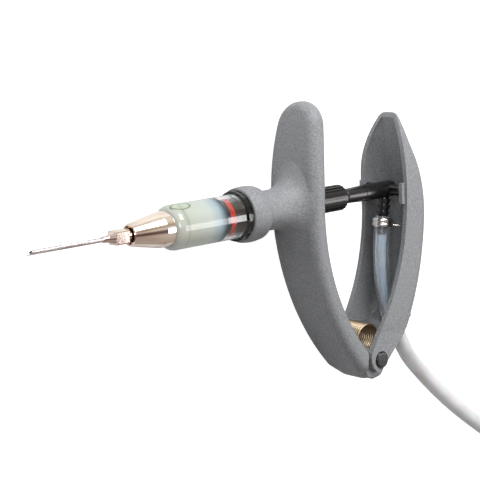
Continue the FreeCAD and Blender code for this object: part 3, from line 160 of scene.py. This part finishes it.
def bump(tree, shader, height, strength, distance):
    """Roughens a shader's surface by a height."""
    node = tree.nodes.new("ShaderNodeBump")
    node.inputs["Strength"].default_value = strength
    node.inputs["Distance"].default_value = distance
    tree.links.new(height, node.inputs["Height"])
    tree.links.new(node.outputs["Normal"], shader.inputs["Normal"])


def vary_roughness(tree, shader, factor, low, high):
    """Lets a factor set the roughness between two values."""
    node = tree.nodes.new("ShaderNodeMapRange")
    node.inputs["To Min"].default_value = low
    node.inputs["To Max"].default_value = high
    tree.links.new(factor, node.inputs["Value"])
    tree.links.new(node.outputs["Result"], shader.inputs["Roughness"])


def grey_nylon():
    """Glass-filled nylon: a fine pale and dark grain on a slightly cool grey."""
    material, tree, shader = new_material("grey_nylon", (0.13, 0.134, 0.14), 0.55, Specular_IOR_Level=0.4)
    grain = noise(tree, 1300, 2.0)
    colour = ramp(tree, grain, (0.34, (0.165, 0.169, 0.177)), (0.5, (0.205, 0.210, 0.220)),
                  (0.66, (0.255, 0.261, 0.272)))
    tree.links.new(colour, shader.inputs["Base Color"])
    vary_roughness(tree, shader, noise(tree, 700), 0.45, 0.65)
    bump(tree, shader, noise(tree, 1200, 3), 0.3, 0.0004)
    return material


def plated_metal():
    """Nickel-plated brass, faintly warm, with the soft waves of a polished turning in its gloss, and
    painted reflections: gold, brown and pale streaks along its length in its colour.
    """
    material, tree, shader = new_material("plated_metal", (0.80, 0.72, 0.65), 0.14, Metallic=1.0)
    vary_roughness(tree, shader, noise(tree, 260), 0.08, 0.18)
    # painted reflections: noise stretched along the axis streaks the colour gold, brown and pale, like
    # reflected bands
    colour = ramp(tree, noise(tree, 90, 2, (0.4, 1, 1)), (0.36, (0.62, 0.50, 0.46)),
                  (0.5, (0.84, 0.73, 0.62)), (0.64, (0.90, 0.85, 0.80)))
    tree.links.new(colour, shader.inputs["Base Color"])
    bump(tree, shader, noise(tree, 900, 2), 0.05, 0.0002)
    return material


def needle_steel():
    """Drawn stainless tube, streaked along its length."""
    material, tree, shader = new_material("needle_steel", (0.62, 0.58, 0.57), 0.26, Metallic=1.0)
    streaks = noise(tree, 1400, 3, (0.05, 1, 1))
    colour = ramp(tree, streaks, (0.3, (0.42, 0.38, 0.40)), (0.7, (0.74, 0.71, 0.69)))
    tree.links.new(colour, shader.inputs["Base Color"])
    vary_roughness(tree, shader, streaks, 0.18, 0.36)
    return material


def glossy_plastic(name, colour, low=0.10, high=0.25):
    """Smooth moulded plastic or rubber, with faint waves in its gloss."""
    material, tree, shader = new_material(name, colour, (low + high) / 2)
    vary_roughness(tree, shader, noise(tree, 600), low, high)
    deeper = tuple(part * 0.6 for part in colour)
    shade = ramp(tree, noise(tree, 900), (0.3, deeper), (0.7, colour))
    tree.links.new(shade, shader.inputs["Base Color"])
    bump(tree, shader, noise(tree, 500, 2), 0.06, 0.0003)
    return material


def wire_metal(name, dark, light, low=0.15, high=0.35):
    """Drawn spring or clamp wire."""
    material, tree, shader = new_material(name, light, (low + high) / 2, Metallic=1.0)
    patches = noise(tree, 700)
    tree.links.new(ramp(tree, patches, (0.3, dark), (0.7, light)), shader.inputs["Base Color"])
    vary_roughness(tree, shader, patches, low, high)
    return material


def clear_plastic():
    """The barrel's clear wall, with faint drawing lines along it."""
    material, tree, shader = new_material(
        "clear_barrel", (0.97, 0.985, 0.975), 0.02, Transmission_Weight=1.0, IOR=1.46)
    lines = noise(tree, 500, 2, (0.08, 1, 1))
    vary_roughness(tree, shader, lines, 0.0, 0.05)
    return material


def milky_fluid():
    """The dose: pale grey-green milk with an air bubble on top, bluer where the piston shows through."""
    material, tree, shader = new_material(
        "milky_fluid", (0.62, 0.66, 0.61), 0.4, Subsurface_Weight=0.3, Subsurface_Scale=0.002)
    length = along(tree, "X", place(FLUID_FRONT, 0).x, place(FLUID_BACK, 0).x)
    colour = ramp(tree, length, (0.0, (0.60, 0.635, 0.575)), (0.60, (0.62, 0.68, 0.65)),
                  (0.82, (0.42, 0.53, 0.60)), (0.97, (0.06, 0.10, 0.14)))
    where = tree.nodes.new("ShaderNodeTexCoord")
    bubble = tree.nodes.new("ShaderNodeMapping")
    bubble.vector_type = "TEXTURE"
    bubble.inputs["Location"].default_value = place(*BUBBLE_PLACE)
    bubble.inputs["Scale"].default_value = Vector(BUBBLE_SIZE) * MM
    reach = tree.nodes.new("ShaderNodeVectorMath")
    reach.operation = "LENGTH"
    inside = ramp(tree, reach.outputs["Value"], (0.0, (0.55, 0.60, 0.50)), (0.72, (0.60, 0.66, 0.56)),
                  (0.86, (0.16, 0.21, 0.13)), (0.98, (0.30, 0.36, 0.27)))
    outline = tree.nodes.new("ShaderNodeMath")
    outline.operation = "LESS_THAN"
    outline.inputs[1].default_value = 1.0
    both = tree.nodes.new("ShaderNodeMix")
    both.data_type = "RGBA"
    tree.links.new(where.outputs["Object"], bubble.inputs["Vector"])
    tree.links.new(bubble.outputs["Vector"], reach.inputs[0])
    tree.links.new(reach.outputs["Value"], outline.inputs[0])
    tree.links.new(outline.outputs["Value"], both.inputs["Factor"])
    tree.links.new(colour, both.inputs["A"])
    tree.links.new(inside, both.inputs["B"])
    tree.links.new(both.outputs["Result"], shader.inputs["Base Color"])
    return material


def hose_plastic():
    """Cloudy soft tube."""
    material, tree, shader = new_material(
        "hose_plastic", (0.80, 0.81, 0.81), 0.32, Subsurface_Weight=0.35, Subsurface_Scale=0.003)
    cloud = noise(tree, 120, 2)
    tree.links.new(ramp(tree, cloud, (0.3, (0.62, 0.63, 0.64)), (0.7, (0.70, 0.71, 0.71))),
                   shader.inputs["Base Color"])
    vary_roughness(tree, shader, noise(tree, 400), 0.25, 0.42)
    return material


def feed_tube_plastic():
    """The clear wall of the feed tube inside the handle."""
    material, tree, shader = new_material(
        "feed_tube_plastic", (0.88, 0.92, 0.96), 0.15, Transmission_Weight=0.92, IOR=1.33)
    vary_roughness(tree, shader, noise(tree, 300), 0.10, 0.24)
    return material


def tube_filling():
    """What the feed tube carries: a pale blue milk."""
    material, tree, shader = new_material(
        "tube_filling", (0.55, 0.64, 0.72), 0.4, Subsurface_Weight=0.3, Subsurface_Scale=0.002)
    cloud = noise(tree, 200, 2)
    tree.links.new(ramp(tree, cloud, (0.3, (0.50, 0.60, 0.70)), (0.7, (0.60, 0.69, 0.76))),
                   shader.inputs["Base Color"])
    return material


def clamp_metal():
    """A bright band with a gold tang."""
    material, tree, shader = new_material("clamp_wire", (0.75, 0.74, 0.72), 0.2, Metallic=1.0)
    colour = ramp(tree, along(tree, "X", place(TANG_FROM, 0).x, place(TANG_FROM + 1, 0).x),
                  (0.0, (0.72, 0.71, 0.70)), (1.0, (0.90, 0.68, 0.40)))
    tree.links.new(colour, shader.inputs["Base Color"])
    vary_roughness(tree, shader, noise(tree, 700), 0.12, 0.3)
    return material


def paint(material, *names):
    """Gives CAD nodes a material."""
    for name in names:
        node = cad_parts[name]
        if not node.material_slots:
            node.data.materials.append(material)
        for spot in node.material_slots:
            spot.material = material


# The dose of fluid, its air bubble and what the feed tube carries
FLUID_FRONT = 2.5
FLUID_BACK = 24.9
FLUID_RADIUS = 8.52
FLUID_STEPS = 12
FRONT_OUTLINE = [(-3.1, 6.1), (-3.1, 7.3), (-2.4, 8.2), (-1.2, 8.7), (0.4, 8.7), (2.45, 8.54), (2.45, 6.1)]
BUBBLE_PLACE = (3.6, 8.2, 2.2)
BUBBLE_SIZE = (5.4, 2.6, 2.6)
FILLING_PLACES = [(131.38, -22.3), (130.83, -25.68), (130.4, -37.5), (131.2, -49.0), (134.2, -61.0),
                  (137.6, -67.0)]
FILLING_RADIUS = 2.4
TANG_FROM = 137.2
ROUND_STEPS = 96
CURVE_SIDES = 6
CURVE_STEPS = 8


def add_piece(name, mesh, material, body, smooth=True):
    """Makes an object of a mesh that rides on a body."""
    for face in mesh.polygons:
        face.use_smooth = smooth
    mesh.materials.append(material)
    piece = bpy.data.objects.new(name, mesh)
    bpy.context.collection.objects.link(piece)
    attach(piece, body)
    return piece


def turned_mesh(name, outline, ring=False):
    """A form turned about the barrel's axis from its (x, radius) outline, capped or a closed ring."""
    form = bmesh.new()
    rings = []
    angles = [2 * pi * step / ROUND_STEPS for step in range(ROUND_STEPS)]
    for x, radius in outline:
        spots = [place(x, radius * cos(angle), radius * sin(angle)) for angle in angles]
        rings.append([form.verts.new(spot) for spot in spots])
    followers = rings[1:] + rings[:1] if ring else rings[1:]
    for line, after in zip(rings, followers):
        for step in range(ROUND_STEPS):
            following = (step + 1) % ROUND_STEPS
            form.faces.new((line[step], line[following], after[following], after[step]))
    if not ring:
        form.faces.new(reversed(rings[0]))
        form.faces.new(rings[-1])
    bmesh.ops.recalc_face_normals(form, faces=form.faces)
    mesh = bpy.data.meshes.new(name)
    form.to_mesh(mesh)
    form.free()
    return mesh


def make_fluid(material):
    """The milk in front of the piston, on a mesh of its own, and the milk at the barrel's front."""
    length = FLUID_BACK - FLUID_FRONT
    outline = [(FLUID_FRONT + length * step / FLUID_STEPS, FLUID_RADIUS) for step in range(FLUID_STEPS + 1)]
    fluid = add_piece("milky_fluid", turned_mesh("milky_fluid", outline), material, "front")
    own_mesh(fluid)
    add_piece("barrel_front_milk", turned_mesh("barrel_front_milk", FRONT_OUTLINE, ring=True), material,
              "front")


def add_curve(name, places, radius):
    """A round line through control points given in millimetres."""
    data = bpy.data.curves.new(name, "CURVE")
    data.dimensions = "3D"
    data.bevel_depth = radius * MM
    data.bevel_resolution = CURVE_SIDES
    data.resolution_u = CURVE_STEPS
    data.use_fill_caps = True
    spline = data.splines.new("NURBS")
    spline.points.add(len(places) - 1)
    for point, spot in zip(spline.points, places):
        point.co = (*place(*spot), 1)
    spline.order_u = 3
    spline.use_endpoint_u = True
    spline.use_smooth = True
    return data


def make_filling(material):
    """The milk in the feed tube, from under the barb to the tube's way out of the handle."""
    line = bpy.data.objects.new("filling_line", add_curve("filling_line", FILLING_PLACES, FILLING_RADIUS))
    mesh = bpy.data.meshes.new_from_object(line)
    bpy.data.objects.remove(line)
    add_piece("tube_filling", mesh, material, "rear_handle")


# The free hose: the same places as in the part's source, then the coil's turns
HOSE_DIAMETER = 8.0
HOSE_PLACES = [(138.72, -69.2, -0.32), (145.5, -81.5, -0.8), (155.6, -90.0, -6.0), (167.5, -98.5, -11.3),
               (183.1, -114.1, -11.3), (204.0, -131.8, -11.3), (238.0, -156.5, -11.3),
               (292.8, -180.9, -11.3)]
COIL_RADIUS = 44.0
COIL_TURNS = 3
COIL_STEPS = 16
TAIL_ANGLE = 130.0
TAIL_RUN = 30.0
INWARD_FROM, INWARD_TO = 290.0, 345.0
RISE_FROM, RISE_TO = 625.0, 650.0
OUTWARD_FROM, OUTWARD_TO = 900.0, 960.0


def eased(angle, start, end):
    """0 before start, 1 after end, and a smooth step between them."""
    share = min(max((angle - start) / (end - start), 0.0), 1.0)
    return share * share * (3 - 2 * share)


def coil_places():
    """The coil's turns, two side by side and two on top, and the tail that leaves them."""
    entry, before = Vector(HOSE_PLACES[-1]), Vector(HOSE_PLACES[-2])
    heading = (entry - before).normalized()
    outward = Vector((heading.y, -heading.x, 0))
    half = HOSE_DIAMETER / 2
    centre = entry - outward * (COIL_RADIUS + half)
    up = Vector((0, 0, 1))
    step_angle = 360 / COIL_STEPS
    pushed_out = 1 / cos(pi / COIL_STEPS)
    places = []
    total = 360 * COIL_TURNS + TAIL_ANGLE
    count = round(total / step_angle)
    for step in range(1, count):
        angle = total * step / count
        inner = eased(angle, INWARD_FROM, INWARD_TO) - eased(angle, OUTWARD_FROM, OUTWARD_TO)
        radius = (COIL_RADIUS + half - HOSE_DIAMETER * inner) * pushed_out
        height = HOSE_DIAMETER * eased(angle, RISE_FROM, RISE_TO)
        turn = Matrix.Rotation(radians(angle), 3, "Z")
        places.append(centre + turn @ outward * radius + up * height)
    turn = Matrix.Rotation(radians(TAIL_ANGLE), 3, "Z")
    side, ahead = turn @ outward, turn @ heading
    leaving = centre + side * (COIL_RADIUS + half) + up * HOSE_DIAMETER
    places += [leaving, leaving + ahead * 2 * HOSE_DIAMETER,
               leaving + ahead * 5 * HOSE_DIAMETER - up * HOSE_DIAMETER]
    places.append(places[-1] + ahead * TAIL_RUN)
    return places


def make_hose(material):
    """One smooth line from the handle to the draw-off tip."""
    places = [Vector(spot) for spot in HOSE_PLACES[:-1]] + coil_places()
    data = add_curve("feed_hose_line", places, HOSE_DIAMETER / 2)
    data.materials.append(material)
    hose = bpy.data.objects.new("feed_hose_line", data)
    bpy.context.collection.objects.link(hose)
    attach(hose, "rear_handle")
    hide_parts("feed_hose", "hose_coil")


# Stage: the floor, the world and the soft boxes
FLOOR_SIDE = 6
FLOOR_GREY = (0.5, 0.5, 0.5)
FLOOR_GLOW = 0.93
FLOOR_BOUNCE = (0.75, 0.75, 0.75)
STUDIO_STRENGTH = 0.34
LIGHT_AIM = (90, -10, 0)
SOFTBOXES = {
    "top_softbox": ((90, 420, 330), (400, 260), 3.6),
    "front_softbox": ((-330, 120, 420), (200, 200), 1.0),
    "side_softbox": ((420, -60, 360), (220, 260), 1.1),
}


def make_floor():
    """A plain pale floor under the syringe, white to the camera apart from the shadow."""
    bpy.ops.mesh.primitive_plane_add(size=FLOOR_SIDE)
    floor = bpy.context.object
    floor.name = "floor"
    material = bpy.data.materials.new("floor")
    material.use_nodes = True
    tree = material.node_tree
    tree.nodes.clear()
    matte = tree.nodes.new("ShaderNodeBsdfDiffuse")
    matte.inputs["Color"].default_value = (*FLOOR_GREY, 1)
    glow = tree.nodes.new("ShaderNodeEmission")
    glow.inputs["Strength"].default_value = FLOOR_GLOW
    both = tree.nodes.new("ShaderNodeAddShader")
    rays = tree.nodes.new("ShaderNodeLightPath")
    seen = tree.nodes.new("ShaderNodeMixShader")
    plain = tree.nodes.new("ShaderNodeBsdfDiffuse")
    plain.inputs["Color"].default_value = (*FLOOR_BOUNCE, 1)
    out = tree.nodes.new("ShaderNodeOutputMaterial")
    tree.links.new(matte.outputs["BSDF"], both.inputs[0])
    tree.links.new(glow.outputs["Emission"], both.inputs[1])
    tree.links.new(rays.outputs["Is Camera Ray"], seen.inputs["Fac"])
    tree.links.new(plain.outputs["BSDF"], seen.inputs[1])
    tree.links.new(both.outputs["Shader"], seen.inputs[2])
    tree.links.new(seen.outputs["Shader"], out.inputs["Surface"])
    floor.data.materials.append(material)


def make_world():
    """White to the camera, banded light and dark to reflections, and a soft studio to the rest."""
    world = bpy.data.worlds.new("studio")
    bpy.context.scene.world = world
    world.use_nodes = True
    tree = world.node_tree
    white = tree.nodes["Background"]
    white.inputs["Color"].default_value = (1, 1, 1, 1)
    white.inputs["Strength"].default_value = 1.0
    studio = tree.nodes.new("ShaderNodeBackground")
    studio.inputs["Strength"].default_value = STUDIO_STRENGTH
    where = tree.nodes.new("ShaderNodeTexCoord")
    split = tree.nodes.new("ShaderNodeSeparateXYZ")
    tree.links.new(where.outputs["Generated"], split.inputs["Vector"])
    across = tree.nodes.new("ShaderNodeMapRange")
    across.inputs["From Min"].default_value = -1
    tree.links.new(split.outputs["Y"], across.inputs["Value"])
    sky = ramp(tree, across.outputs["Result"], (0.0, (0.30, 0.28, 0.27)), (0.35, (0.42, 0.40, 0.39)),
               (0.62, (0.75, 0.75, 0.76)), (1.0, (1.0, 1.0, 1.0)))
    bands = ramp(tree, across.outputs["Result"], (0.0, (1.3, 1.2, 1.1)), (0.30, (1.6, 1.35, 1.2)),
                 (0.42, (0.22, 0.13, 0.12)), (0.52, (0.70, 0.45, 0.38)), (0.60, (2.4, 2.35, 2.3)),
                 (0.68, (1.1, 0.80, 0.60)), (0.80, (2.2, 2.0, 1.7)), (1.0, (2.6, 2.6, 2.6)))
    rays = tree.nodes.new("ShaderNodeLightPath")
    lit = tree.nodes.new("ShaderNodeMix")
    lit.data_type = "RGBA"
    tree.links.new(rays.outputs["Is Glossy Ray"], lit.inputs["Factor"])
    tree.links.new(sky, lit.inputs["A"])
    tree.links.new(bands, lit.inputs["B"])
    tree.links.new(lit.outputs["Result"], studio.inputs["Color"])
    mixed = tree.nodes.new("ShaderNodeMixShader")
    tree.links.new(rays.outputs["Is Camera Ray"], mixed.inputs["Fac"])
    tree.links.new(studio.outputs["Background"], mixed.inputs[1])
    tree.links.new(white.outputs["Background"], mixed.inputs[2])
    tree.links.new(mixed.outputs["Shader"], tree.nodes["World Output"].inputs["Surface"])


def make_lights():
    """Soft boxes: name, place, size in millimetres and watts."""
    aim = place(*LIGHT_AIM)
    for name, (spot, size, watts) in SOFTBOXES.items():
        data = bpy.data.lights.new(name, "AREA")
        data.shape = "RECTANGLE"
        data.size, data.size_y = (side * MM for side in size)
        data.energy = watts
        light = bpy.data.objects.new(name, data)
        light.location = place(*spot)
        light.rotation_euler = (aim - light.location).to_track_quat("-Z", "Y").to_euler()
        bpy.context.collection.objects.link(light)


bpy.context.scene.view_settings.view_transform = "Standard"
make_camera()
make_world()
make_lights()
make_floor()

paint(grey_nylon(), "front_handle", "rear_handle")
paint(plated_metal(), "luer_lock_nozzle", "needle_hub")
paint(needle_steel(), "needle_cannula")
paint(glossy_plastic("black_rubber", (0.014, 0.014, 0.015)), "barrel_flange_seal", "piston")
paint(glossy_plastic("red_rubber", (0.62, 0.018, 0.004), 0.2, 0.35), "piston_ring")
paint(glossy_plastic("black_plastic", (0.012, 0.012, 0.013), 0.15, 0.32),
      "elbow_connector", "piston_rod", "dose_knob", "pivot_pin", "pivot_pin_cap", "rod_guide_bush",
      "inlet_valve", "inlet_valve_retainer", "outlet_valve", "outlet_valve_seat", "coil_tie",
      "draw_off_spike")
paint(wire_metal("spring_steel", (0.35, 0.35, 0.36), (0.62, 0.62, 0.63)),
      "outlet_valve_spring", "inlet_valve_spring")
paint(clamp_metal(), "hose_clamp")
paint(wire_metal("gold_spring", (0.34, 0.27, 0.19), (0.46, 0.37, 0.26), 0.3, 0.45), "return_spring")
paint(clear_plastic(), "barrel")
paint(feed_tube_plastic(), "feed_tube_inner")
make_fluid(milky_fluid())
make_filling(tube_filling())
make_hose(hose_plastic())
